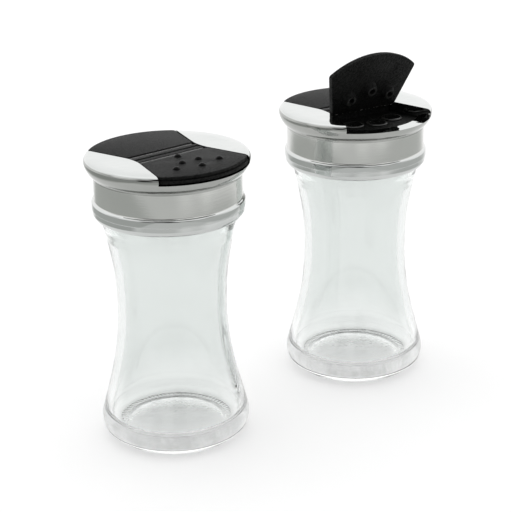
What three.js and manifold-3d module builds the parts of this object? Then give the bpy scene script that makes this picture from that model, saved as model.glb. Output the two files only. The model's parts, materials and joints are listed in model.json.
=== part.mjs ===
// A pair of flip-top salt and pepper shakers: waisted glass jars under chromed caps. Each cap holds a
// black insert with a perforated deck, a sprinkle flap in front and a pour flap behind. Millimetres, +Z up.
// The salt shaker's hinges lie along X, the sprinkle flaps face -Y, and the origin is under the middle
// of the pair.
import * as THREE from 'three';
import { mergeVertices } from 'three/addons/utils/BufferGeometryUtils.js';
import Module from 'manifold-3d';

const wasm = await Module();
wasm.setup();

// Driving dimensions of the pair
const PAIR_OFFSET = new THREE.Vector2(41.8, 0.6);   // each shaker's centre from the origin
const PEPPER_TURN_DEG = -7;                         // the pepper shaker stands turned a little
const FLAP_OPEN_DEG = 68;                           // and its sprinkle flap stands open

// Heights above the table
const CAP_TOP = 98;
const SHELL_BOTTOM = 77.6;
const LEDGE_TOP = 95.2;         // chromed step that the flaps close down onto
const DECK_TOP = 94.2;
const DECK_BOTTOM = 92.4;
const SKIRT_BOTTOM = 78.4;
const NECK_TOP = 90.9;
const FLAP_BOTTOM = 95.7;
const LIP_TOP = 96.7;           // top of the flap's lower lip
const HINGE_Z = 97.4;

// Radii
const RIM_R = 27;
const BAND_R = 24.2;
const BEAD_R = 25.1;
const SHELL_BORE_R = 22.9;
const WELL_R = 22.3;            // the shell's lip laps over the edge of the deck
const SKIRT_R = 22.5;
const SKIRT_BORE_R = 21.3;
const NECK_R = 20;
const NECK_BORE_R = 17.4;
const JAR_WALL = 2.6;
const FLAP_LIP_R = 26.7;
const FLAP_TOP_R = 26.2;

// Hinge strip across the middle, and the window that widens from it to the rim
const STRIP_HALF = 2.45;
const HINGE_Y = 3.05;           // distance of each living hinge from the middle
const FLAP_START = 3.65;
const WAIST_HALF = 13.2;        // half width of the window at the strip
const WINDOW_SLOPE = 0.279;     // how fast the window widens towards the rim
const CLEAR = 0.35;

// Twist thread: four starts, so the cap climbs LEAD in one turn
const LEAD = 12.7;
const STARTS = 4;
const RIDGE_SPAN = 1.75;        // radians that one ridge covers
const LUG_SPAN = 0.55;
const RIDGE_Z = 82.6;           // height of a ridge's lower end
const LUG_DROP = 1.62;          // how far a lug rides under its ridge

// Sprinkle holes and their plugs, and the round pips on top of the flap
const HOLES = [[-8.2, 10.2], [0, 12.7], [8.2, 10.2]];
const PIPS = [[0, 5.8], [-3.2, 12.4], [3.2, 12.4], [-8.5, 16.4], [8.5, 16.4], [0, 18.5]];
const HOLE_R = 3.1;
const COLLAR_R = 3.8;
const COLLAR_HEIGHT = 0.6;
const PLUG_ROOT_R = 2.7;
const PLUG_TIP_R = 2;
const PLUG_BORE_R = 1.1;
const PLUG_LENGTH = 2;
const PIP_R = 1.25;
const PIP_HEIGHT = 0.85;

// Pour opening behind the strip
const POUR = { y: 11, halfX: 7.5, halfY: 4.5, corner: 3 };
const POUR_RIB = 0.9;

const glass = new THREE.MeshStandardMaterial({
  color: 0xe6ece9, roughness: 0.05, metalness: 0, transparent: true, opacity: 0.35 });
const chrome = new THREE.MeshStandardMaterial({ color: 0xd9dcdb, roughness: 0.12, metalness: 1 });
const blackPlastic = new THREE.MeshStandardMaterial({ color: 0x1b1c1b, roughness: 0.5, metalness: 0 });
const liner = new THREE.MeshStandardMaterial({ color: 0xe9e8e2, roughness: 0.8, metalness: 0 });

// Turn a closed three.js geometry into a solid with its faces pointing out
function solid(geometry) {
  const bare = geometry.clone();
  bare.deleteAttribute('normal');
  bare.deleteAttribute('uv');
  const merged = mergeVertices(bare, 1e-4);
  const points = merged.attributes.position.array;
  const triangles = Array.from(merged.index.array);
  const corner = (i) => new THREE.Vector3().fromArray(points, 3 * triangles[i]);
  let volume = 0;
  for (let i = 0; i < triangles.length; i += 3) {
    volume += corner(i).dot(corner(i + 1).cross(corner(i + 2)));
  }
  if (volume < 0) triangles.reverse();
  return new wasm.Manifold(new wasm.Mesh({
    numProp: 3, vertProperties: new Float32Array(points), triVerts: new Uint32Array(triangles) }));
}

function namedMesh(name, body, material) {
  const { vertProperties, triVerts } = body.getMesh();
  const geometry = new THREE.BufferGeometry();
  geometry.setAttribute('position', new THREE.BufferAttribute(vertProperties, 3));
  geometry.setIndex(new THREE.BufferAttribute(triVerts, 1));
  geometry.computeVertexNormals();
  const mesh = new THREE.Mesh(geometry, material);
  mesh.name = name;
  return mesh;
}

// Solid of revolution about Z from [radius, height] pairs
function turned(profile, segments = 48) {
  const points = profile.map(([r, z]) => new THREE.Vector2(r, z));
  return solid(new THREE.LatheGeometry(points, segments).rotateX(Math.PI / 2));
}

function ring(inner, outer, bottom, top, segments = 48) {
  return turned([[inner, bottom], [outer, bottom], [outer, top], [inner, top], [inner, bottom]], segments);
}

function prism(shape, bottom, top, curveSegments = 6) {
  const geometry = new THREE.ExtrudeGeometry(shape, {
    depth: top - bottom, bevelEnabled: false, curveSegments });
  return solid(geometry.translate(0, 0, bottom));
}

function peg(x, y, lowR, highR, bottom, top, segments = 16) {
  const geometry = new THREE.CylinderGeometry(highR, lowR, top - bottom, segments).rotateX(Math.PI / 2);
  return solid(geometry.translate(x, y, (top + bottom) / 2));
}

function block(width, depth, bottom, top, y = 0) {
  return solid(new THREE.BoxGeometry(width, depth, top - bottom).translate(0, y, (top + bottom) / 2));
}

// Shallow dome standing on a level, sunk a little into it
function dome(x, y, radius, height, level) {
  const ball = (radius ** 2 + height ** 2) / (2 * height);
  const reach = Math.asin(radius / ball) * 1.1;
  const profile = [0, 1, 2, 3].map((i) => reach * (3 - i) / 3)
    .map((a) => [ball * Math.sin(a), level + height - ball + ball * Math.cos(a)]);
  return turned([[0, level - 0.4], [profile[0][0], level - 0.4], ...profile], 12).translate([x, y, 0]);
}

// Half width of the window at a distance from the strip's middle
function windowHalf(distance) {
  return WAIST_HALF + WINDOW_SLOPE * Math.max(distance - STRIP_HALF, 0);
}

// Bow-tie outline of the window, grown or shrunk sideways, and open past the rim
function windowShape(grow = 0) {
  const past = RIM_R + 3;
  const waist = windowHalf(0) + grow;
  const wide = windowHalf(past) + grow;
  const shape = new THREE.Shape();
  shape.moveTo(-wide, -past);
  shape.lineTo(wide, -past);
  shape.lineTo(waist, -STRIP_HALF);
  shape.lineTo(waist, STRIP_HALF);
  shape.lineTo(wide, past);
  shape.lineTo(-wide, past);
  shape.lineTo(-waist, STRIP_HALF);
  shape.lineTo(-waist, -STRIP_HALF);
  return shape;
}

// Outline of a flap lying towards side (-1 front, +1 back): straight flanks and a round outer edge
function flapShape(side, outerR) {
  const start = windowHalf(FLAP_START) - CLEAR;
  let reach = outerR;
  for (let i = 0; i < 20; i += 1) {
    reach = Math.sqrt(outerR ** 2 - (windowHalf(reach) - CLEAR) ** 2);
  }
  const cornerAngle = Math.atan2(reach, windowHalf(reach) - CLEAR) * side;
  const shape = new THREE.Shape();
  shape.moveTo(-start, side * FLAP_START);
  shape.lineTo(start, side * FLAP_START);
  shape.absarc(0, 0, outerR, cornerAngle, side * Math.PI - cornerAngle, side < 0);
  return shape;
}

function roundedPanel(halfX, halfY, corner, centreY) {
  const shape = new THREE.Shape();
  shape.absarc(halfX - corner, centreY - halfY + corner, corner, -Math.PI / 2, 0);
  shape.absarc(halfX - corner, centreY + halfY - corner, corner, 0, Math.PI / 2);
  shape.absarc(-halfX + corner, centreY + halfY - corner, corner, Math.PI / 2, Math.PI);
  shape.absarc(-halfX + corner, centreY - halfY + corner, corner, Math.PI, Math.PI * 1.5);
  return shape;
}

// One thread ridge on a cylinder: a bevelled bar bent along the helix, thinner at both ends
function helicalBar(rootR, crestR, halfRoot, halfCrest, startAngle, span, startZ, steps) {
  const section = new THREE.Shape();
  section.moveTo(0, -halfRoot);
  section.lineTo(1, -halfCrest);
  section.lineTo(1, halfCrest);
  section.lineTo(0, halfRoot);
  const bar = new THREE.ExtrudeGeometry(section, { depth: 1, steps, bevelEnabled: false });
  const place = bar.attributes.position;
  for (let i = 0; i < place.count; i += 1) {
    const along = place.getZ(i);
    const fade = THREE.MathUtils.clamp(Math.min(along, 1 - along) * steps, 0.3, 1);
    const radius = rootR + (crestR - rootR) * place.getX(i) * fade;
    const angle = startAngle + span * along;
    const height = startZ + LEAD * span * along / (2 * Math.PI) + place.getY(i) * fade;
    place.setXYZ(i, radius * Math.cos(angle), radius * Math.sin(angle), height);
  }
  return solid(bar);
}

// Glass jar: hollow foot, thick floor, narrow waist and a threaded neck
function makeJar(name) {
  const side = new THREE.SplineCurve([
    [22.2, 1.2], [24.35, 3.5], [24.95, 7], [24, 11], [22.65, 16], [20.9, 23], [19.35, 31], [18.4, 40],
    [18.25, 49], [18.75, 58], [20, 66], [21.3, 72.5]].map(([r, z]) => new THREE.Vector2(r, z)));
  const outer = side.getPoints(14).map((p) => [p.x, p.y]);
  const wallFrom = 9.5;
  const inner = outer.filter(([, z]) => z > wallFrom && z < 72).map(([r, z]) => [r - JAR_WALL, z]).reverse();
  const foot = [[0, 1.6], [14, 1.2], [17.6, 0], [20.4, 0]];
  const shoulder = [[22, 76.2], [21.4, 77.2], [NECK_R, 78]];
  const lip = [[NECK_R, NECK_TOP - 0.5], [NECK_R - 0.5, NECK_TOP], [NECK_BORE_R + 0.5, NECK_TOP]];
  const bore = [[NECK_BORE_R, NECK_TOP - 0.5], [NECK_BORE_R, 78.5], [18.6, 75]];
  const floor = [[21.6, 8.2], [19.9, 6.5], [17.2, 5.8], [0, 5.6]];
  let jar = turned([...foot, ...outer, ...shoulder, ...lip, ...bore, ...inner, ...floor], 36);
  for (let i = 0; i < STARTS; i += 1) {
    const angle = 2 * Math.PI * i / STARTS;
    jar = jar.add(helicalBar(NECK_R - 0.4, NECK_R + 0.9, 0.8, 0.4, angle, RIDGE_SPAN, RIDGE_Z, 8));
  }
  return namedMesh(name, jar, glass);
}

// Chromed shell: mirror top with an overhanging rim, straight band and a bead, cut by the window
function makeShell(name) {
  let shell = turned([
    [0, CAP_TOP], [25.5, CAP_TOP], [26.4, 97.7], [26.85, 97.1], [RIM_R, 96.2], [26.7, 94.9], [25.9, 93.3],
    [25, 92.2], [BAND_R, 91.5], [BAND_R, 83.2], [24.85, 82.95], [BEAD_R, 82.3], [BEAD_R, 80.6],
    [24.8, 79], [BAND_R, SHELL_BOTTOM], [SHELL_BORE_R, SHELL_BOTTOM], [SHELL_BORE_R, DECK_TOP + 0.3],
    [0, DECK_TOP + 0.3]], 48);
  const underTop = prism(new THREE.Shape().absarc(0, 0, SHELL_BORE_R - 1, 0, 2 * Math.PI), DECK_TOP,
    CAP_TOP - 1.5, 20);
  shell = shell.subtract(underTop.subtract(prism(windowShape(1.1), DECK_TOP - 1, CAP_TOP)));
  shell = shell.subtract(prism(windowShape(), LEDGE_TOP, CAP_TOP + 1));
  const well = turned([[0, DECK_TOP - 1], [WELL_R, DECK_TOP - 1], [WELL_R, CAP_TOP], [0, CAP_TOP]], 56)
    .intersect(prism(windowShape(), 90, CAP_TOP - 0.5));
  return namedMesh(name, shell.subtract(well), chrome);
}

// Black insert: deck with sprinkle holes and pour opening, hinge strip, and a skirt with thread lugs
function makeInsert(name) {
  let body = turned([
    [0, DECK_BOTTOM], [SKIRT_BORE_R, DECK_BOTTOM], [SKIRT_BORE_R, SKIRT_BOTTOM], [SKIRT_R, SKIRT_BOTTOM],
    [SKIRT_R, DECK_TOP], [0, DECK_TOP]], 44);
  const stripLength = 2 * (WAIST_HALF - CLEAR);
  body = body.add(block(stripLength, 2 * STRIP_HALF, DECK_TOP - 1, CAP_TOP - 0.1));
  body = body.subtract(block(stripLength + 2, 0.5, CAP_TOP - 0.5, CAP_TOP + 1));
  for (const [x, y] of HOLES) {
    body = body.add(peg(x, -y, COLLAR_R, COLLAR_R - 0.3, DECK_TOP - 0.5, DECK_TOP + COLLAR_HEIGHT, 20));
    body = body.subtract(peg(x, -y, HOLE_R, HOLE_R, DECK_BOTTOM - 1, DECK_TOP + 2, 20));
  }
  body = body.subtract(prism(roundedPanel(POUR.halfX, POUR.halfY, POUR.corner, POUR.y), DECK_BOTTOM - 1,
    DECK_TOP + 1));
  for (let i = 0; i < STARTS; i += 1) {
    const inRidge = (RIDGE_SPAN - LUG_SPAN) / 2;
    const angle = 2 * Math.PI * i / STARTS + inRidge;
    const height = RIDGE_Z + LEAD * inRidge / (2 * Math.PI) - LUG_DROP;
    body = body.add(helicalBar(SKIRT_BORE_R + 0.4, NECK_R + CLEAR, 0.65, 0.35, angle, LUG_SPAN, height, 4));
  }
  return namedMesh(name, body, blackPlastic);
}

// Flap plate shared by both sides: a thin top plate over a wider lower lip, bevelled at the hinge
function flapPlate(side) {
  const plate = prism(flapShape(side, FLAP_LIP_R), FLAP_BOTTOM, LIP_TOP, 14).add(
    prism(flapShape(side, FLAP_TOP_R), LIP_TOP - 0.2, CAP_TOP, 14));
  const bevel = new THREE.BoxGeometry(2 * RIM_R, 1.2, 1.2).rotateX(Math.PI / 4);
  return plate.subtract(solid(bevel.translate(0, side * (FLAP_START - 0.3), CAP_TOP + 0.1)));
}

// A flap in a group that turns about its living hinge
function hung(side, mesh, openDeg) {
  const turn = new THREE.Group();
  turn.position.set(0, side * HINGE_Y, HINGE_Z);
  turn.rotation.x = side * THREE.MathUtils.degToRad(openDeg);
  mesh.position.set(0, -side * HINGE_Y, -HINGE_Z);
  turn.add(mesh);
  return turn;
}

// Sprinkle flap: round pips on top, tubular plugs below that close the sprinkle holes
function makeSprinkleFlap(name, openDeg) {
  let flap = flapPlate(-1);
  for (const [x, y] of PIPS) flap = flap.add(dome(x, -y, PIP_R, PIP_HEIGHT, CAP_TOP));
  const tip = FLAP_BOTTOM - PLUG_LENGTH;
  for (const [x, y] of HOLES) {
    const plug = peg(x, -y, PLUG_TIP_R, PLUG_ROOT_R, tip, FLAP_BOTTOM + 0.2).subtract(
      peg(x, -y, PLUG_BORE_R, PLUG_BORE_R, tip - 1, FLAP_BOTTOM - 0.2, 10));
    flap = flap.add(plug);
  }
  return hung(-1, namedMesh(name, flap, blackPlastic), openDeg);
}

// Pour flap: plain on top, with a rib below that drops into the pour opening
function makePourFlap(name, openDeg) {
  const { halfX, halfY, corner, y } = POUR;
  const ribX = halfX - 0.5;
  const ribY = halfY - 0.5;
  const tip = DECK_TOP - 0.4;
  const rib = prism(roundedPanel(ribX, ribY, corner - 0.5, y), tip, FLAP_BOTTOM + 0.2, 5).subtract(
    prism(roundedPanel(ribX - POUR_RIB, ribY - POUR_RIB, corner - 1.2, y), tip - 1, FLAP_BOTTOM, 5));
  return hung(1, namedMesh(name, flapPlate(1).add(rib), blackPlastic), openDeg);
}

// Thin web of the living hinge, in the groove between the strip and a flap
function makeHingeWeb(name, side) {
  const web = block(2 * (WAIST_HALF - CLEAR) - 0.6, 0.6, HINGE_Z - 0.2, HINGE_Z + 0.2, side * HINGE_Y);
  return namedMesh(name, web, blackPlastic);
}

function makeShaker(prefix, sprinkleOpenDeg) {
  const shaker = new THREE.Group();
  shaker.add(
    makeJar(`${prefix}_jar`),
    namedMesh(`${prefix}_seal_ring`, ring(NECK_BORE_R + 0.1, NECK_R + 0.5, 91.2, 92.1, 36), liner),
    makeShell(`${prefix}_cap_shell`),
    makeInsert(`${prefix}_cap_insert`),
    makeHingeWeb(`${prefix}_sprinkle_hinge_web`, -1),
    makeHingeWeb(`${prefix}_pour_hinge_web`, 1),
    makeSprinkleFlap(`${prefix}_sprinkle_flap`, sprinkleOpenDeg),
    makePourFlap(`${prefix}_pour_flap`, 0),
  );
  return shaker;
}

const shakers = new THREE.Group();
const salt = makeShaker('salt', 0);
salt.position.set(-PAIR_OFFSET.x, -PAIR_OFFSET.y, 0);
const pepper = makeShaker('pepper', FLAP_OPEN_DEG);
pepper.position.set(PAIR_OFFSET.x, PAIR_OFFSET.y, 0);
pepper.rotation.z = THREE.MathUtils.degToRad(PEPPER_TURN_DEG);
shakers.add(salt, pepper);

export default shakers;
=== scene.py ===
import json
import math

import bmesh
import bpy
from mathutils import Matrix, Vector


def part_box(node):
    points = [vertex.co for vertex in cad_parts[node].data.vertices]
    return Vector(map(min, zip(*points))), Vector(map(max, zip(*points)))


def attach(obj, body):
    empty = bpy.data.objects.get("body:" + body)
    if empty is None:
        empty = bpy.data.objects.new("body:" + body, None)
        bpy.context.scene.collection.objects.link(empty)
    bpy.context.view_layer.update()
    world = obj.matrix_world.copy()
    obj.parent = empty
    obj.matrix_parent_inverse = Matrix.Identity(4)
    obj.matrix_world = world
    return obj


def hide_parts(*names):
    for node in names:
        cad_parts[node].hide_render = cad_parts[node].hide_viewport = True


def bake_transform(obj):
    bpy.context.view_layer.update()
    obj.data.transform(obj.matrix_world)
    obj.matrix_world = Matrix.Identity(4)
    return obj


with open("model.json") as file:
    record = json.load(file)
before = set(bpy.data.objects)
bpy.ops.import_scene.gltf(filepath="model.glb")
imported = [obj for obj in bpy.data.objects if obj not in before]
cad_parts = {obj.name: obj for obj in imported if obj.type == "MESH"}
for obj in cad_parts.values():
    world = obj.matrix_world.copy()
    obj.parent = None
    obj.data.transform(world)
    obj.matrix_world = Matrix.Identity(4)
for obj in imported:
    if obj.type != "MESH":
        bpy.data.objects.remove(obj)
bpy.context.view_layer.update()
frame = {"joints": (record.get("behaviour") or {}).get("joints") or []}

# Shapes are drawn in millimetres, in one shaker's own frame: its axis is Z, the table is at 0, the hinges
# lie along X and the sprinkle flap faces -Y. Each finished mesh is then placed in the row frame in metres.
MM = 0.001
PREFIXES = ("salt", "pepper")
JOINTS = {joint["name"]: joint for joint in frame["joints"]}


def cad_size(node):
    """Width and the lowest and highest points of a CAD node, in millimetres."""
    low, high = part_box(node)
    return (high.x - low.x) / MM, low.z / MM, high.z / MM


rim_width, SHELL_BOTTOM, CAP_TOP = cad_size("salt_cap_shell")
RIM_R = rim_width / 2
insert_width, SKIRT_BOTTOM, _ = cad_size("salt_cap_insert")
SKIRT_R = insert_width / 2
_, _, NECK_TOP = cad_size("salt_jar")
_, SEAL_BOTTOM, SEAL_TOP = cad_size("salt_seal_ring")
HINGE_Z = JOINTS["salt_sprinkle_hinge"]["pos_m"][2] / MM

# Cap levels and radii
LEDGE_TOP = CAP_TOP - 2.8
DECK_TOP = CAP_TOP - 3.8
DECK_BOTTOM = DECK_TOP - 1.8
FLAP_BOTTOM = CAP_TOP - 2.3
LIP_BOTTOM = CAP_TOP - 0.75     # the mirror of the top ends here and the rim's flank starts, in darker chrome as painted shade
FLANK_BOTTOM = CAP_TOP - 6.0
BAND_TOP = CAP_TOP - 6.85
BAND_BOTTOM = CAP_TOP - 14.5
BAND_R = RIM_R - 2.8
BEAD_R = RIM_R - 1.9
SHELL_BORE_R = SKIRT_R + 0.4
WELL_R = SKIRT_R - 0.2
SKIRT_BORE_R = SKIRT_R - 1.2
NECK_R = 20.0
NECK_BORE_R = 17.4
JAR_WALL = 2.6

# Hinge strip, flaps and the window around them
STRIP_HALF = 2.45
HINGE_Y = 3.05
FLAP_START = 3.65
WAIST_HALF = 13.2
WINDOW_SLOPE = 0.279
CLEAR = 0.35
HOLES = ((-8.2, -10.2), (0.0, -12.7), (8.2, -10.2))
HOLE_R = 3.1
PIPS = ((0, -5.8), (-3.2, -12.4), (3.2, -12.4), (-8.5, -16.4), (8.5, -16.4), (0, -18.5))
PIP_R = 1.25
PIP_HEIGHT = 0.85
PLUG_TIP = FLAP_BOTTOM - 2
PLUG_BORE_R = 1.1
EJECTOR_MARKS = ((-7.9, -20.6), (7.9, -20.6))
EJECTOR_R = 2.1
EJECTOR_DEPTH = 0.12
POUR_Y = 11                     # middle of the pour opening and of the rib that closes it

# Thread: four starts, one turn climbs LEAD
LEAD = 12.7
STARTS = 4
RIDGE_SPAN = 1.75
RIDGE_Z = 82.6
RIDGE_HEIGHT = 0.85
LUG_SPAN = 0.55
LUG_DROP = 1.62


# ---------------------------------------------------------------- camera

LENS_PIXELS, PICTURE_PIXELS = 1600, 512     # focal length and picture width, both in pixels
AZIMUTH, ELEVATION, ROLL = math.radians(-39.2), math.radians(20.6), math.radians(-0.94)
LOOK_AT = Vector((0.0034, 0.0104, 0.048))
DISTANCE = 0.5667


def add_camera():
    """The camera looks down from the front left, almost level, through a short telephoto lens."""
    back = Vector((math.sin(AZIMUTH) * math.cos(ELEVATION), -math.cos(AZIMUTH) * math.cos(ELEVATION),
                   math.sin(ELEVATION)))
    right = (-back).cross(Vector((0, 0, 1))).normalized()
    up = back.cross(right)
    rolled_right = right * math.cos(ROLL) + up * math.sin(ROLL)
    rolled_up = up * math.cos(ROLL) - right * math.sin(ROLL)
    camera = bpy.data.objects.new("camera", bpy.data.cameras.new("camera"))
    bpy.context.scene.collection.objects.link(camera)
    turn = Matrix((rolled_right, rolled_up, back)).transposed().to_4x4()
    camera.matrix_world = Matrix.Translation(LOOK_AT + back * DISTANCE) @ turn
    camera.data.sensor_width = 36
    camera.data.lens = camera.data.sensor_width * LENS_PIXELS / PICTURE_PIXELS
    camera.data.clip_start = 0.01
    bpy.context.scene.camera = camera


# ---------------------------------------------------------------- outlines

def arc_corners(corners, steps=5):
    """A polyline of (x, y, radius) corners, each rounded with an arc of its radius."""
    result = []
    for i, (x, y, radius) in enumerate(corners):
        here = Vector((x, y))
        if radius == 0 or i in (0, len(corners) - 1):
            result.append(here)
            continue
        to_last = (Vector(corners[i - 1][:2]) - here).normalized()
        to_next = (Vector(corners[i + 1][:2]) - here).normalized()
        half = to_last.angle(to_next) / 2
        centre = here + (to_last + to_next).normalized() * radius / math.sin(half)
        start = here + to_last * radius / math.tan(half) - centre
        end = here + to_next * radius / math.tan(half) - centre
        sweep = start.angle_signed(end)
        for k in range(steps + 1):
            turn = Matrix.Rotation(-sweep * k / steps, 2)
            result.append(centre + turn @ start)
    return result


def smooth_curve(points, steps=6):
    """Catmull-Rom curve through (x, y) points."""
    points = [Vector(p) for p in points]
    padded = [points[0] * 2 - points[1], *points, points[-1] * 2 - points[-2]]
    result = []
    for a, b, c, d in zip(padded, padded[1:], padded[2:], padded[3:]):
        for k in range(steps):
            t = k / steps
            result.append(0.5 * (2 * b + (c - a) * t + (2 * a - 5 * b + 4 * c - d) * t ** 2
                                 + (3 * b - a - 3 * c + d) * t ** 3))
    return result + [points[-1]]


def window_half(y):
    """Half width of the bow-tie window at a distance from the middle of the hinge strip."""
    return WAIST_HALF + WINDOW_SLOPE * max(abs(y) - STRIP_HALF, 0)


def flap_outline(side, outer_r, inset, corner=0.9, steps=28):
    """Outline of a flap: straight flanks, a round outer edge and softened outer corners."""
    reach = outer_r
    for _ in range(20):
        reach = math.sqrt(outer_r ** 2 - (window_half(reach) - CLEAR - inset) ** 2)
    half = window_half(FLAP_START) - CLEAR - inset
    spread = math.atan2(window_half(reach) - CLEAR - inset, reach)
    trim = corner / outer_r
    flank_angle = math.atan(WINDOW_SLOPE)
    points = [Vector((-half, FLAP_START + inset)), Vector((half, FLAP_START + inset))]
    tip = Vector((math.sin(spread), math.cos(spread))) * outer_r
    on_flank = tip - Vector((math.sin(flank_angle), math.cos(flank_angle))) * corner
    on_arc = Vector((math.sin(spread - trim), math.cos(spread - trim))) * outer_r
    for k in range(5):
        t = k / 4
        points.append(on_flank * (1 - t) ** 2 + tip * 2 * t * (1 - t) + on_arc * t ** 2)
    for k in range(1, steps):
        angle = (spread - trim) * (1 - 2 * k / steps)
        points.append(Vector((math.sin(angle), math.cos(angle))) * outer_r)
    points += [Vector((-p.x, p.y)) for p in reversed(points[2:7])]
    return [Vector((p.x * side, p.y * side)) for p in points]


def rounded_panel(half_x, half_y, corner, centre_y, steps=8):
    """Rectangle with round corners."""
    result = []
    for sx, sy, start in ((1, -1, -90), (1, 1, 0), (-1, 1, 90), (-1, -1, 180)):
        for k in range(steps + 1):
            angle = math.radians(start + 90 * k / steps)
            result.append(Vector((sx * (half_x - corner) + corner * math.cos(angle),
                                  centre_y + sy * (half_y - corner) + corner * math.sin(angle))))
    return result


def circle(x, y, radius, steps=40):
    return [Vector((x + radius * math.cos(2 * math.pi * k / steps),
                    y + radius * math.sin(2 * math.pi * k / steps))) for k in range(steps)]


# ---------------------------------------------------------------- meshes

def finished(mesh_data):
    """Point every face of a mesh outwards."""
    work = bmesh.new()
    work.from_mesh(mesh_data)
    bmesh.ops.remove_doubles(work, verts=work.verts, dist=1e-5)
    bmesh.ops.recalc_face_normals(work, faces=work.faces)
    work.to_mesh(mesh_data)
    work.free()
    return mesh_data


def from_rings(name, rings, closed=False):
    """Skin rings of the same number of points. Rings of one point close to a tip, and ends are capped."""
    work = bmesh.new()
    made = [[work.verts.new(point) for point in ring] for ring in rings]
    if closed:
        made.append(made[0])
    for low, high in zip(made, made[1:]):
        count = max(len(low), len(high))
        for k in range(count):
            corners = [low[k % len(low)], low[(k + 1) % len(low)],
                       high[(k + 1) % len(high)], high[k % len(high)]]
            work.faces.new(list(dict.fromkeys(corners)))
    if not closed:
        for end in (made[0], made[-1]):
            if len(end) > 2:
                work.faces.new(end)
    mesh_data = bpy.data.meshes.new(name)
    work.to_mesh(mesh_data)
    work.free()
    return finished(mesh_data)


def turned(name, outline, steps=192, closed=False, shift=None):
    """Solid of revolution. shift(angle, radius, height) may move each point in radius and height."""
    rings = []
    for radius, height in outline:
        if radius < 1e-6:
            rings.append([(0, 0, height)])
            continue
        ring = []
        for k in range(steps):
            angle = 2 * math.pi * k / steps
            r, z = shift(angle, radius, height) if shift else (radius, height)
            ring.append((r * math.cos(angle), r * math.sin(angle), z))
        rings.append(ring)
    return from_rings(name, rings, closed)


def stacked(name, levels):
    """Solid from outlines at rising heights: levels is a list of (outline, height)."""
    return from_rings(name, [[(p.x, p.y, height) for p in outline] for outline, height in levels])


def drilled(outline, low, high):
    """Straight prism from one height to another, to cut with or to join."""
    return stacked("prism", [(outline, low), (outline, high)])


def extruded_x(name, section, half_length):
    """Solid with a (y, z) section along X."""
    return from_rings(name, [[(x, p[0], p[1]) for p in section] for x in (-half_length, half_length)])


def helical_bar(name, root_r, crest_r, half_root, half_crest, start_angle, span, start_z, steps=24):
    """Thread bar bent along the helix, with soft ends."""
    rings = []
    for k in range(steps + 1):
        along = k / steps
        fade = min(1, 0.25 + 5 * min(along, 1 - along))
        angle = start_angle + span * along
        height = start_z + LEAD * span * along / (2 * math.pi)
        section = ((root_r, -half_root), (root_r + (crest_r - root_r) * fade, -half_crest * fade),
                   (root_r + (crest_r - root_r) * fade, half_crest * fade), (root_r, half_root))
        rings.append([(r * math.cos(angle), r * math.sin(angle), height + z) for r, z in section])
    return from_rings(name, rings)


def as_object(mesh_data):
    piece = bpy.data.objects.new(mesh_data.name, mesh_data)
    bpy.context.scene.collection.objects.link(piece)
    return piece


def carved(body, cuts=(), joins=(), clips=(), bevel=0.0, angle=35):
    """Join, cut and clip closed meshes, then round every edge sharper than angle."""
    piece = as_object(body)
    helpers = []
    for operation, group in (("UNION", joins), ("DIFFERENCE", cuts), ("INTERSECT", clips)):
        for other in group:
            helper = as_object(other)
            helpers.append(helper)
            step = piece.modifiers.new(operation, "BOOLEAN")
            step.operation = operation
            step.solver = "EXACT"
            step.object = helper
    if bevel:
        edge = piece.modifiers.new("edge", "BEVEL")
        edge.width = bevel
        edge.segments = 3
        edge.limit_method = "ANGLE"
        edge.angle_limit = math.radians(angle)
        edge.use_clamp_overlap = True
    bpy.context.view_layer.update()
    result = bpy.data.meshes.new_from_object(piece.evaluated_get(bpy.context.evaluated_depsgraph_get()))
    result.name = body.name
    for helper in helpers:
        bpy.data.objects.remove(helper)
    bpy.data.objects.remove(piece)
    return result


# ---------------------------------------------------------------- parts of a shaker, in millimetres

def thread_height(angle, height):
    """How far the neck's thread stands out at a point: a rounded ridge along each helix."""
    most = 0
    for start in range(STARTS):
        along = (angle - 2 * math.pi * start / STARTS) % (2 * math.pi)
        if along > RIDGE_SPAN:
            continue
        off = abs(height - RIDGE_Z - LEAD * along / (2 * math.pi))
        fade = min(1, 5 * min(along, RIDGE_SPAN - along) / RIDGE_SPAN)
        most = max(most, fade * max(0, 1 - (off / RIDGE_HEIGHT) ** 4))
    return RIDGE_HEIGHT * most


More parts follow.
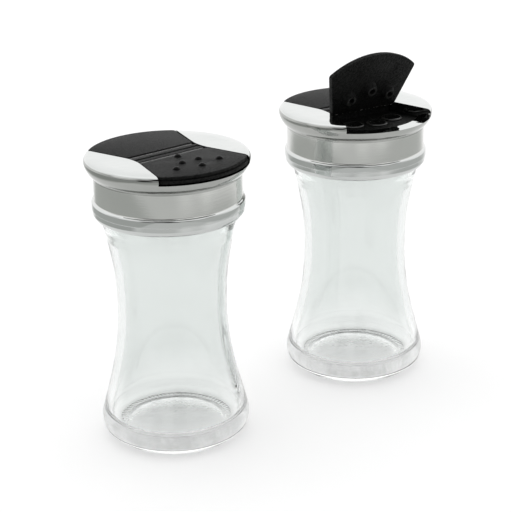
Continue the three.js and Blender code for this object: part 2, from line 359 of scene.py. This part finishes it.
def jar_mesh():
    """Glass jar: knurled bearing ring, thick floor, narrow waist, threaded neck and fire-polished lip."""
    side = smooth_curve(((20.4, 0.0), (22.2, 1.2), (24.35, 3.5), (24.95, 7), (24, 11), (22.65, 16),
                         (20.9, 23), (19.35, 31), (18.4, 40), (18.25, 49), (18.75, 58), (20, 66),
                         (21.3, 72.5), (21.95, 75.6)), 8)
    shoulder = arc_corners(((21.95, 75.6, 0), (22.1, 77.2, 1.0), (NECK_R, 78.0, 0.6), (NECK_R, 79.0, 0)), 5)
    neck = [Vector((NECK_R, 79.0 + 0.3 * k)) for k in range(1, 37)]
    lip = arc_corners(((NECK_R, NECK_TOP - 1.2, 0), (NECK_R, NECK_TOP, 0.9), (NECK_BORE_R, NECK_TOP, 0.9),
                       (NECK_BORE_R, NECK_TOP - 2, 0)), 6)
    inner = [Vector((p.x - JAR_WALL, p.y)) for p in side if 10.5 < p.y < 71]
    throat = smooth_curve(((NECK_BORE_R, 78.5), (17.9, 76.5), (18.4, 74), (18.2, 71.5)), 5)
    floor = smooth_curve((inner[0], (21.7, 9.0), (20.9, 7.5), (19.4, 6.4), (17, 5.9), (9, 5.7), (0, 5.6)), 6)
    foot = smooth_curve(((0, 1.9), (9, 1.6), (14.5, 1.1), (17.0, 0.25), (17.8, 0.0)), 6)
    ring = [Vector((r, 0)) for r in (18.4, 19.0, 19.6)]
    outline = foot + ring + side[:-1] + shoulder[:-1] + neck[:-1] + lip[1:] + throat[:-1]
    outline += inner[::-1] + floor[1:]

    def shift(angle, radius, height):
        if 79 < height < NECK_TOP - 1 and radius > NECK_R - 0.1:
            return radius + thread_height(angle, height), height
        if height < 0.05 and 17.9 < radius < 20.2:
            return radius, 0.12 * (1 + math.cos(80 * angle + 9 * radius))
        return radius, height

    return turned("jar", outline, 320, shift=shift)


def shell_mesh():
    """Chromed cap shell with a bow-tie window that notches the rim down to a ledge."""
    rim = smooth_curve(((25.3, CAP_TOP), (26.2, CAP_TOP - 0.22), (26.8, CAP_TOP - 0.85),
                        (RIM_R, CAP_TOP - 1.8), (26.75, CAP_TOP - 3.0), (26.05, CAP_TOP - 4.4),
                        (25.2, CAP_TOP - 5.5), (24.75, FLANK_BOTTOM)), 6)
    steps = arc_corners(((24.75, FLANK_BOTTOM, 0), (24.7, CAP_TOP - 6.25, 0.05),
                         (24.45, CAP_TOP - 6.3, 0.05), (24.42, CAP_TOP - 6.75, 0.08),
                         (BAND_R, BAND_TOP, 0.08), (BAND_R, BAND_BOTTOM, 0.5),
                         (BEAD_R - 0.1, CAP_TOP - 15.0, 0.7),
                         (BEAD_R, CAP_TOP - 17.2, 0.15), (BEAD_R - 0.25, CAP_TOP - 17.4, 0.1),
                         (24.85, CAP_TOP - 18.9, 0.8), (BAND_R, SHELL_BOTTOM + 0.4, 0.5),
                         (BAND_R - 0.4, SHELL_BOTTOM, 0.2), (SHELL_BORE_R, SHELL_BOTTOM, 0.2),
                         (SHELL_BORE_R, SHELL_BOTTOM + 2, 0)), 5)
    inside = [Vector((SHELL_BORE_R, DECK_TOP + 0.3)), Vector((0, DECK_TOP + 0.3))]
    top = [Vector((r, CAP_TOP)) for r in (0, 6, 12, 18, 22)]
    outline = top + rim + steps[1:] + inside
    body = turned("cap_shell", outline, 256)
    past = RIM_R + 3

    def window(name, low, high, reach):
        """Bow-tie prism with a softly curved waist, clipped to a round reach if there is one."""
        flank = smooth_curve(((window_half(past), -past), (window_half(12), -12), (window_half(4.5), -4.5),
                              (WAIST_HALF + 0.05, -1.8), (WAIST_HALF + 0.05, 1.8), (window_half(4.5), 4.5),
                              (window_half(12), 12), (window_half(past), past)), 5)
        bow_tie = flank + [-p for p in flank]
        prism = stacked(name, [(bow_tie, low), (bow_tie, high)])
        if reach is None:
            return prism
        edge = circle(0, 0, reach, 256)
        return carved(prism, clips=[stacked(name + "_disc", [(edge, low), (edge, high)])])

    notch = window("notch", LEDGE_TOP, CAP_TOP + 1, None)
    well = window("well", DECK_TOP - 1, CAP_TOP - 0.5, WELL_R)
    return carved(body, cuts=(notch, well), bevel=0.16)


def insert_mesh():
    """Black insert: deck with collared holes and pour opening, hinge strip, skirt and thread lugs."""
    outline = arc_corners(((0, DECK_BOTTOM, 0), (SKIRT_BORE_R, DECK_BOTTOM, 0.6),
                           (SKIRT_BORE_R, SKIRT_BOTTOM, 0.2), (SKIRT_R, SKIRT_BOTTOM, 0.3),
                           (SKIRT_R, DECK_TOP, 0.3), (0, DECK_TOP, 0)), 4)
    body = turned("cap_insert", outline, 160)
    top = CAP_TOP - 0.1
    root = DECK_TOP - 0.5
    section = arc_corners(((0, root, 0), (STRIP_HALF, root, 0), (STRIP_HALF, top - 0.35, 0.1),
                           (STRIP_HALF - 0.4, top, 0.2), (0.55, top, 0.1), (0.3, top - 0.4, 0.1),
                           (-0.15, top - 0.4, 0.1), (-0.4, top - 0.12, 0.1),
                           (-STRIP_HALF + 0.4, top - 0.12, 0.2), (-STRIP_HALF, top - 0.45, 0.1),
                           (-STRIP_HALF, root, 0)), 3)
    joins = [extruded_x("strip", section, WAIST_HALF - CLEAR)]
    cuts = []
    for x, y in HOLES:
        joins.append(stacked("collar", [
            (circle(x, y, 3.8), root), (circle(x, y, 3.75), DECK_TOP + 0.3),
            (circle(x, y, 3.5), DECK_TOP + 0.55), (circle(x, y, 3.2), DECK_TOP + 0.6)]))
        cuts.append(drilled(circle(x, y, HOLE_R), DECK_BOTTOM - 1, DECK_TOP + 2))
    cuts.append(drilled(rounded_panel(7.5, 4.5, 3, POUR_Y), DECK_BOTTOM - 1, DECK_TOP + 2))
    inside = (RIDGE_SPAN - LUG_SPAN) / 2
    for start in range(STARTS):
        joins.append(helical_bar("lug", SKIRT_BORE_R + 0.4, NECK_R + CLEAR, 0.65, 0.35,
                                 2 * math.pi * start / STARTS + inside, LUG_SPAN,
                                 RIDGE_Z + LEAD * inside / (2 * math.pi) - LUG_DROP))
    return carved(body, cuts=cuts, joins=joins, bevel=0.1)


def flap_body(name, side):
    """Flap plate with a lower lip, a fine groove and a soft upper edge, and the prism that bevels it
    along the hinge."""
    lip_r, top_r = RIM_R - 0.3, RIM_R - 0.8
    levels = [(flap_outline(side, lip_r - 0.3, 0.3), FLAP_BOTTOM),
              (flap_outline(side, lip_r - 0.05, 0.05), FLAP_BOTTOM + 0.12),
              (flap_outline(side, lip_r, 0), FLAP_BOTTOM + 0.3),
              (flap_outline(side, lip_r, 0), FLAP_BOTTOM + 0.85),
              (flap_outline(side, lip_r - 0.15, 0), FLAP_BOTTOM + 1.0),
              (flap_outline(side, top_r - 0.25, 0), FLAP_BOTTOM + 1.05),
              (flap_outline(side, top_r - 0.25, 0), FLAP_BOTTOM + 1.25),
              (flap_outline(side, top_r, 0), FLAP_BOTTOM + 1.35),
              (flap_outline(side, top_r, 0), CAP_TOP - 0.3),
              (flap_outline(side, top_r - 0.1, 0.1), CAP_TOP - 0.1),
              (flap_outline(side, top_r - 0.3, 0.3), CAP_TOP)]
    body = stacked(name, levels)
    y = side * (FLAP_START - 0.3)
    reach = 0.85
    section = [(y - reach, CAP_TOP + 0.1), (y, CAP_TOP + 0.1 - reach), (y + reach, CAP_TOP + 0.1),
               (y, CAP_TOP + 0.1 + reach)]
    return body, extruded_x("bevel", section, RIM_R)


def pip(x, y):
    """Shallow dome on the flap's top, cut from a ball."""
    ball = (PIP_R ** 2 + PIP_HEIGHT ** 2) / (2 * PIP_HEIGHT)
    reach = math.asin(PIP_R / ball)
    levels = [(circle(x, y, PIP_R + 0.02, 32), CAP_TOP - 0.2)]
    for k in range(7):
        angle = reach * (1 - 0.98 * k / 6)
        levels.append((circle(x, y, ball * math.sin(angle), 32),
                       CAP_TOP + PIP_HEIGHT - ball * (1 - math.cos(angle))))
    return stacked("pip", levels)


def sprinkle_flap_mesh():
    """Front flap: pips on top, three hollow plugs and two ejector marks below."""
    body, bevel = flap_body("sprinkle_flap", -1)
    cuts = [bevel]
    joins = [pip(x, y) for x, y in PIPS]
    for x, y in HOLES:
        joins.append(stacked("plug", [
            (circle(x, y, 1.85), PLUG_TIP), (circle(x, y, 2.0), PLUG_TIP + 0.15),
            (circle(x, y, 2.65), FLAP_BOTTOM - 0.1), (circle(x, y, 2.9), FLAP_BOTTOM + 0.1),
            (circle(x, y, 2.9), FLAP_BOTTOM + 0.3)]))
        cuts.append(drilled(circle(x, y, PLUG_BORE_R), PLUG_TIP - 1, FLAP_BOTTOM - 0.2))
    for x, y in EJECTOR_MARKS:
        cuts.append(drilled(circle(x, y, EJECTOR_R), FLAP_BOTTOM - 1, FLAP_BOTTOM + EJECTOR_DEPTH))
    return carved(body, cuts=cuts, joins=joins, bevel=0.07)


def pour_flap_mesh():
    """Rear flap: plain on top, with a sealing rib below."""
    body, bevel = flap_body("pour_flap", 1)
    rib = drilled(rounded_panel(7.0, 4.0, 2.5, POUR_Y), DECK_TOP - 0.4, FLAP_BOTTOM + 0.3)
    hollow = drilled(rounded_panel(6.1, 3.1, 1.8, POUR_Y), DECK_TOP - 1.4, FLAP_BOTTOM)
    return carved(body, cuts=[bevel, hollow], joins=[rib], bevel=0.07)


def seal_mesh():
    """Soft liner ring, a little crowned."""
    inner, outer = NECK_BORE_R + 0.1, NECK_R + 0.5
    outline = arc_corners(((inner + 1, SEAL_BOTTOM, 0), (outer, SEAL_BOTTOM, 0.3), (outer, SEAL_TOP, 0.3),
                           (inner, SEAL_TOP, 0.3), (inner, SEAL_BOTTOM, 0.3), (inner + 1, SEAL_BOTTOM, 0)), 4)
    return turned("seal_ring", outline[:-1], 160, closed=True)


# ---------------------------------------------------------------- materials

def node_maker(tree):
    """A function that adds a node to the tree, applies its settings, and sets or links its inputs."""
    def node(kind, inputs=None, **settings):
        new = tree.nodes.new(kind)
        for key, value in settings.items():
            setattr(new, key, value)
        for key, value in (inputs or {}).items():
            if isinstance(value, bpy.types.NodeSocket):
                tree.links.new(value, new.inputs[key])
            else:
                new.inputs[key].default_value = value
        return new

    return node


def material(name):
    """A new material: itself, its shader, a function that adds nodes and one that links to the shader."""
    made = bpy.data.materials.new(name)
    made.use_nodes = True
    tree = made.node_tree
    shader = tree.nodes["Principled BSDF"]

    def link(output, socket):
        tree.links.new(output, shader.inputs[socket])

    return made, shader, node_maker(tree), link


def mapped(node, source, low, high, to_low, to_high):
    return node("ShaderNodeMapRange", {"Value": source, "From Min": low, "From Max": high,
                                       "To Min": to_low, "To Max": to_high}).outputs["Result"]


def maths(node, operation, a, b):
    return node("ShaderNodeMath", {0: a, 1: b}, operation=operation).outputs["Value"]


def mixed(node, amount, none, full):
    """Colour between two, by amount."""
    return node("ShaderNodeMix", {0: amount, 6: (*none, 1), 7: (*full, 1)}, data_type="RGBA").outputs[2]


def noise(node, place, scale, detail, roughness=0.5):
    return node("ShaderNodeTexNoise", {"Vector": place, "Scale": scale, "Detail": detail,
                                       "Roughness": roughness}).outputs["Fac"]


def bumped(node, height, strength, distance):
    return node("ShaderNodeBump", {"Height": height, "Strength": strength,
                                   "Distance": distance}).outputs["Normal"]


def glass_material(name, rough_low, rough_high, scale, strength):
    """Clear soda glass, wavy and hazy, faintly green in the wall and almost white in the thick base, painted
    light that brightens the shaded base.
    """
    made, shader, node, link = material(name)
    shader.inputs["Transmission Weight"].default_value = 1.0
    shader.inputs["IOR"].default_value = 1.5
    place = node("ShaderNodeTexCoord").outputs["Object"]
    height = node("ShaderNodeSeparateXYZ", {"Vector": place}).outputs["Z"]
    # Near-white colour up to 10 mm, green from 24 mm up: the lighter base is painted light.
    link(mixed(node, mapped(node, height, 0.010, 0.024, 0, 1), (0.985, 0.995, 0.99), (0.835, 0.858, 0.848)),
         "Base Color")
    haze = noise(node, place, 260.0, 5.0)
    link(mapped(node, haze, 0.45, 0.75, rough_low, rough_high), "Roughness")
    link(bumped(node, noise(node, place, scale, 2.0), strength, 0.002), "Normal")
    return made


def chrome_material(name, shine, rough_low, rough_high, brushed, warmth):
    """Chromed plastic: clean or finely brushed, cool or warm, with handling marks in the roughness."""
    made, shader, node, link = material(name)
    shader.inputs["Metallic"].default_value = 1.0
    place = node("ShaderNodeTexCoord").outputs["Object"]
    cloud = mapped(node, noise(node, place, 60.0, 4.0), 0.3, 0.7, 0, 1)
    link(mixed(node, cloud, (shine - 0.02 + warmth, shine, shine - 0.005 - warmth),
               (shine + 0.02 + warmth, shine + 0.035, shine + 0.03 - warmth)), "Base Color")
    marks = noise(node, place, 900.0, 6.0, 0.7)
    link(mapped(node, marks, 0.35, 0.7, rough_low, rough_high), "Roughness")
    if brushed:
        squashed = node("ShaderNodeMapping", {"Vector": place, "Scale": (60, 60, 6000)}, vector_type="POINT")
        bump = bumped(node, noise(node, squashed.outputs["Vector"], 1.0, 3.0), 0.06, 0.0004)
    else:
        bump = bumped(node, noise(node, place, 230.0, 1.0), 0.07, 0.001)
    link(bump, "Normal")
    return made


def black_plastic_material():
    """Black moulded plastic with a fine matte grain."""
    made, _, node, link = material("black_plastic")
    place = node("ShaderNodeTexCoord").outputs["Object"]
    cloud = mapped(node, noise(node, place, 90.0, 5.0), 0.3, 0.7, 0, 1)
    link(mixed(node, cloud, (0.0035, 0.0038, 0.0035), (0.007, 0.0073, 0.0068)), "Base Color")
    grain = noise(node, place, 1500.0, 4.0)
    link(mapped(node, grain, 0.3, 0.7, 0.46, 0.60), "Roughness")
    link(mapped(node, grain, 0.38, 0.62, 0.04, 0.17), "Specular IOR Level")
    link(bumped(node, grain, 0.8, 0.0005), "Normal")
    return made


def even_black_material(name, colour, specular, scale, rough_low, rough_high):
    """The same black plastic without grain."""
    made, shader, node, link = material(name)
    shader.inputs["Base Color"].default_value = (*colour, 1)
    shader.inputs["Specular IOR Level"].default_value = specular
    place = node("ShaderNodeTexCoord").outputs["Object"]
    link(mapped(node, noise(node, place, scale, 2.0), 0.3, 0.7, rough_low, rough_high), "Roughness")
    return made


def film_material(name, glint_grey):
    """Thin glossy web of a living hinge, crazed by bending, with light flecks in its colour that are painted
    glints, brightest on the web that is bent far.
    """
    made, shader, node, link = material(name)
    shader.inputs["Specular IOR Level"].default_value = 0.9
    place = node("ShaderNodeTexCoord").outputs["Object"]
    craze_and_glints = noise(node, place, 1100.0, 3.0)
    # Light flecks in the base colour: painted glints.
    link(mixed(node, mapped(node, craze_and_glints, 0.5, 0.58, 0, 1), (0.012, 0.012, 0.011),
               (glint_grey, glint_grey * 0.98, glint_grey * 0.93)), "Base Color")
    link(mapped(node, craze_and_glints, 0.3, 0.7, 0.12, 0.3), "Roughness")
    link(bumped(node, craze_and_glints, 1.0, 0.0006), "Normal")
    return made


def liner_material():
    """White foam liner with fine cells."""
    made, shader, node, link = material("white_liner")
    shader.inputs["Roughness"].default_value = 0.8
    place = node("ShaderNodeTexCoord").outputs["Object"]
    cells = node("ShaderNodeTexVoronoi", {"Vector": place, "Scale": 2200.0}).outputs["Distance"]
    link(mixed(node, cells, (0.78, 0.77, 0.72), (0.88, 0.87, 0.83)), "Base Color")
    link(bumped(node, cells, 0.4, 0.0002), "Normal")
    return made


# ---------------------------------------------------------------- placing the pieces

def shaker_place(prefix):
    """Matrix from one shaker's own millimetres to the row frame in metres, from its pour hinge."""
    hinge = JOINTS[prefix + "_pour_hinge"]
    along = Vector(hinge["axis"]).normalized()
    turn = Matrix.Rotation(math.atan2(along.y, along.x), 4, "Z")
    centre = Vector(hinge["pos_m"]) - turn @ Vector((0, HINGE_Y, HINGE_Z)) * MM
    return Matrix.Translation(centre) @ turn @ Matrix.Scale(MM, 4)


def opened(prefix, flap, side):
    """Turn of a flap about its hinge at rest, from shut: the joint's low limit is the shut flap."""
    degrees = -JOINTS[f"{prefix}_{flap}_hinge"]["range_deg"][0]
    pivot = Vector((0, side * HINGE_Y, HINGE_Z))
    turn = Matrix.Rotation(side * math.radians(degrees), 4, "X")
    return Matrix.Translation(pivot) @ turn @ Matrix.Translation(-pivot)


# Each finish gives the number of a face's material in its piece's list, from the middle of the face.

def plain(_):
    return 0


def jar_finish(point):
    """Clear walls (0), a stippled underside (1) and a slightly hazy inner floor (2)."""
    radius = math.hypot(point.x, point.y)
    if point.z < 2.1 and radius < 21.5:
        return 1
    return 2 if point.z < 8.6 and radius < 21.9 else 0


def shell_finish(point):
    """Mirror on top, inside and on the bead (0), a brushed band (1) and the rim's flank in darker chrome as
    painted shade (2).
    """
    flank_end = BAND_TOP + 0.05
    if math.hypot(point.x, point.y) < SHELL_BORE_R + 0.5:
        return 0
    if BAND_BOTTOM - 0.1 < point.z < flank_end:
        return 1
    # The rim's flank gets the darker chrome: painted shade.
    return 2 if flank_end <= point.z < LIP_BOTTOM else 0


def flap_finish(point):
    """Grained plate (0), a darker smooth black on the pips and in the groove as painted shade (1), lighter
    shiny plug ends as a painted highlight (2) and the hinge film with painted glints at the hinge (3).
    """
    # Plug ends get the lighter shiny black: a painted highlight.
    if point.z < PLUG_TIP + 0.07:
        return 2
    # Faces along the hinge edge get the film with its painted glints.
    if abs(point.y) < FLAP_START + 0.2 and point.z < CAP_TOP - 1.2:
        return 3
    # The groove and the soft edge beside it get the darker black: painted shade.
    shaded_groove = abs(point.y) < FLAP_START + 0.85 and point.z < CAP_TOP - 0.003
    return int(point.z > CAP_TOP + 0.03 or shaded_groove)


def insert_finish(point):
    """Grained deck (0), a darker smooth black on the sides and groove of the hinge strip as painted shade
    (1), and lighter shiny rims on the collars as a painted highlight (2).
    """
    # Collar rims get the lighter shiny black: a painted highlight.
    if DECK_TOP + 0.4 < point.z < DECK_TOP + 0.65:
        return 2
    # The strip's sides and its groove get the darker black: painted shade.
    return int(point.z > DECK_TOP + 0.8 and (abs(point.y) > STRIP_HALF - 0.12 or abs(point.y + 0.15) < 0.3))


def add_piece(prefix, part, mesh_data, body, materials, place, finish=plain, sharp=35):
    """One finished piece in the row frame, riding on its body and standing for its CAD node."""
    own = mesh_data.copy()
    own.materials.clear()
    for entry in materials:
        own.materials.append(entry)
    own.polygons.foreach_set("material_index", [finish(face.center) for face in own.polygons])
    flat_levels = part != "jar"
    own.polygons.foreach_set("use_smooth", [not (flat_levels and abs(face.normal.z) > 0.9997)
                                            for face in own.polygons])
    own.transform(place)
    own.set_sharp_from_angle(angle=math.radians(sharp))
    piece = as_object(own)
    piece.name = f"{prefix}_{part}_piece"
    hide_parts(f"{prefix}_{part}")
    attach(piece, f"{prefix}_{body}")


def add_web(prefix, flap, side, place, open_turn, film):
    """Living hinge: a thin ribbon from the strip to the flap, its outer half turned with the flap to the
    flap's rest opening.
    """
    half = WAIST_HALF - CLEAR - 0.3
    rings = []
    for k in range(9):
        share = k / 8
        y = side * (STRIP_HALF + 0.05 + share * (FLAP_START - STRIP_HALF - 0.1))
        thick = 0.14 + 0.12 * (2 * share - 1) ** 2
        ring = [Vector((x, y, HINGE_Z + z)) for x, z in
                ((-half, -thick), (half, -thick), (half, thick), (-half, thick))]
        rings.append([open_turn @ p if share > 0.5 else p for p in ring])
    own = from_rings("web", rings)
    own.transform(place)
    own.materials.append(film)
    own.polygons.foreach_set("use_smooth", [True] * len(own.polygons))
    own.set_sharp_from_angle(angle=math.radians(40))
    piece = as_object(own)
    piece.name = f"{prefix}_{flap}_hinge_web_piece"
    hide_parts(f"{prefix}_{flap}_hinge_web")
    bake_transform(piece)


def add_shakers():
    glasses = [glass_material("clear_glass", 0.0, 0.03, 45.0, 0.05),
               glass_material("glass_foot", 0.4, 0.55, 300.0, 0.12),
               glass_material("glass_floor", 0.05, 0.12, 90.0, 0.06)]
    # chrome_rim_painted_shade is the same chrome made darker: painted shade for the dim reflection along the
    # rim's flank.
    chromes = [chrome_material("chrome_mirror", 0.55, 0.02, 0.06, False, 0.004),
               chrome_material("chrome_band", 0.56, 0.10, 0.18, True, 0.013),
               chrome_material("chrome_rim_painted_shade", 0.35, 0.02, 0.05, False, 0.010)]
    # shiny_black_painted_highlight is a lighter, glossier copy of the black: a painted highlight on plug ends
    # and collar rims.
    # smooth_black_painted_shade is a darker copy of the black without grain: painted shade on the pips,
    # grooves and strip sides.
    blacks = [black_plastic_material(),
              even_black_material("smooth_black_painted_shade", (0.0022, 0.0023, 0.0021), 0.06, 700.0, 0.22, 0.34),
              even_black_material("shiny_black_painted_highlight", (0.016, 0.0165, 0.0155), 0.5, 900.0, 0.25, 0.4)]
    foam = [liner_material()]
    # hinge_film_painted_glints has brighter painted glints, for the flap that stands open.
    film, glint_film = film_material("hinge_film", 0.03), film_material("hinge_film_painted_glints", 0.42)
    jar, shell, insert, seal = jar_mesh(), shell_mesh(), insert_mesh(), seal_mesh()
    sprinkle, pour = sprinkle_flap_mesh(), pour_flap_mesh()
    for prefix in PREFIXES:
        place = shaker_place(prefix)
        sprinkle_open = opened(prefix, "sprinkle", -1)
        pour_open = opened(prefix, "pour", 1)
        sprinkle_film = glint_film if prefix == "pepper" else film
        add_piece(prefix, "jar", jar, "base", glasses, place, jar_finish)
        add_piece(prefix, "cap_shell", shell, "cap", chromes, place, shell_finish)
        add_piece(prefix, "cap_insert", insert, "cap", blacks, place, insert_finish)
        add_piece(prefix, "seal_ring", seal, "seal", foam, place)
        add_piece(prefix, "sprinkle_flap", sprinkle, "sprinkle", blacks + [sprinkle_film],
                  place @ sprinkle_open, flap_finish)
        add_piece(prefix, "pour_flap", pour, "pour", blacks + [film],
                  place @ pour_open, flap_finish)
        add_web(prefix, "sprinkle", -1, place, sprinkle_open, sprinkle_film)
        add_web(prefix, "pour", 1, place, pour_open, film)


# ---------------------------------------------------------------- studio

FLOOR_HALF = 6
FLOOR_THICK = 0.001
# White and grey of the floor, also the colour of its glow: the glow is painted light, the grey painted shade.
GLOWING_WHITE_FLOOR = (0.50, 0.50, 0.50)
SHADED_GREY_FLOOR = (0.245, 0.253, 0.245)

# Soft cards in the surround light: azimuth from the camera's, elevation, and the radii where the card is
# full and where it ends, all in degrees. A bright card also has the light that it adds.
BRIGHT_CARDS = ((-62, 28, 15, 22, 0.6), (48, 38, 12, 20, 0.7), (6, 62, 14, 20, 0.6))
DARK_CARDS = ((-28, 11, 9, 12), (8, 9, 10, 13), (33, 14, 6, 9), (-6, 36, 11, 15), (-6, 52, 12, 16))
DARK_CARD_LIGHT = 0.04


def add_key_light():
    lamp = bpy.data.lights.new("key", "AREA")
    lamp.shape = "RECTANGLE"
    lamp.size = lamp.size_y = 0.9
    lamp.energy = 0.6
    holder = bpy.data.objects.new("key", lamp)
    bpy.context.scene.collection.objects.link(holder)
    place, target = Vector((-0.25, 0.1, 1.1)), Vector((0, 0, 0.05))
    holder.location = place
    holder.rotation_euler = (target - place).to_track_quat("-Z", "Y").to_euler()


def add_floor():
    """A pale floor that glows with its own colour as painted light: white under the pair and behind it,
    greyer to the front and to the sides as painted shade, less grey in a patch in front.
    """
    corners = [(-FLOOR_HALF, -FLOOR_HALF), (FLOOR_HALF, -FLOOR_HALF), (FLOOR_HALF, FLOOR_HALF),
               (-FLOOR_HALF, FLOOR_HALF)]
    floor = as_object(from_rings("floor", [[(x, y, z) for x, y in corners] for z in (-FLOOR_THICK, 0)]))
    made, shader, node, link = material("floor")
    # Across the view along X, and away from the camera along Y, in metres
    place = node("ShaderNodeMapping", {"Vector": node("ShaderNodeTexCoord").outputs["Object"],
                                       "Rotation": (0, 0, -AZIMUTH)}, vector_type="POINT").outputs["Vector"]
    split = node("ShaderNodeSeparateXYZ", {"Vector": place})
    across, away = split.outputs["X"], split.outputs["Y"]
    front = mapped(node, away, -0.13, -0.2, 0.0, 0.62)
    left = mapped(node, across, -0.15, -0.2, 0.0, 1.0)
    right = mapped(node, across, 0.17, 0.25, 0.0, 0.8)
    not_behind = mapped(node, away, 0.2, 0.4, 1.0, 0.0)
    sides = maths(node, "MULTIPLY", maths(node, "MAXIMUM", left, right), not_behind)
    gap = node("ShaderNodeVectorMath", {0: place, 1: (0.07, -0.22, 0)}, operation="DISTANCE").outputs["Value"]
    patch = mapped(node, gap, 0.02, 0.07, 0.35, 1.0)
    amount = maths(node, "MULTIPLY", maths(node, "MAXIMUM", front, sides), patch)
    # Greyer to the front and sides: painted shade.
    floor_glow_and_shade = mixed(node, amount, GLOWING_WHITE_FLOOR, SHADED_GREY_FLOOR)
    link(floor_glow_and_shade, "Base Color")
    link(floor_glow_and_shade, "Emission Color")
    # The floor glows: painted light that fills in shade and shadows around the pair.
    shader.inputs["Emission Strength"].default_value = 1.05
    shader.inputs["Roughness"].default_value = 0.8
    shader.inputs["Specular IOR Level"].default_value = 0.1
    floor.data.materials.append(made)


def direction(azimuth, elevation):
    """Unit vector: azimuth 0 looks back along -Y, positive to +X."""
    a, e = math.radians(azimuth), math.radians(elevation)
    return (math.sin(a) * math.cos(e), -math.cos(a) * math.cos(e), math.sin(e))


def add_world():
    """Soft surround light: bright behind and overhead, dimmer in front, with bright and dark cards."""
    world = bpy.data.worlds.new("world")
    bpy.context.scene.world = world
    world.use_nodes = True
    tree = world.node_tree
    node = node_maker(tree)
    way = node("ShaderNodeTexCoord").outputs["Generated"]
    facing = math.degrees(AZIMUTH)

    def towards(azimuth, elevation):
        """Cosine of the angle between the way looked and a direction."""
        return node("ShaderNodeVectorMath", {0: way, 1: direction(azimuth, elevation)},
                    operation="DOT_PRODUCT").outputs["Value"]

    def card(azimuth, elevation, inner, outer, outside, inside):
        return mapped(node, towards(facing + azimuth, elevation), math.cos(math.radians(outer)),
                      math.cos(math.radians(inner)), outside, inside)

    light = mapped(node, towards(facing, 0), -0.35, 0.45, 1.30, 0.5)
    light = maths(node, "ADD", light, mapped(node, towards(0, 90), 0.5, 0.85, 0.0, 0.15))
    for *spot, extra in BRIGHT_CARDS:
        light = maths(node, "ADD", light, card(*spot, 0.0, extra))
    for spot in DARK_CARDS:
        light = maths(node, "MULTIPLY", light, card(*spot, 1.0, DARK_CARD_LIGHT))
    background = tree.nodes["Background"]
    background.inputs["Color"].default_value = (1, 1, 1, 1)
    tree.links.new(light, background.inputs["Strength"])


def add_studio():
    add_floor()
    add_world()
    add_key_light()
    bpy.context.scene.view_settings.view_transform = "Standard"


add_camera()
add_shakers()
add_studio()

bpy.context.view_layer.update()
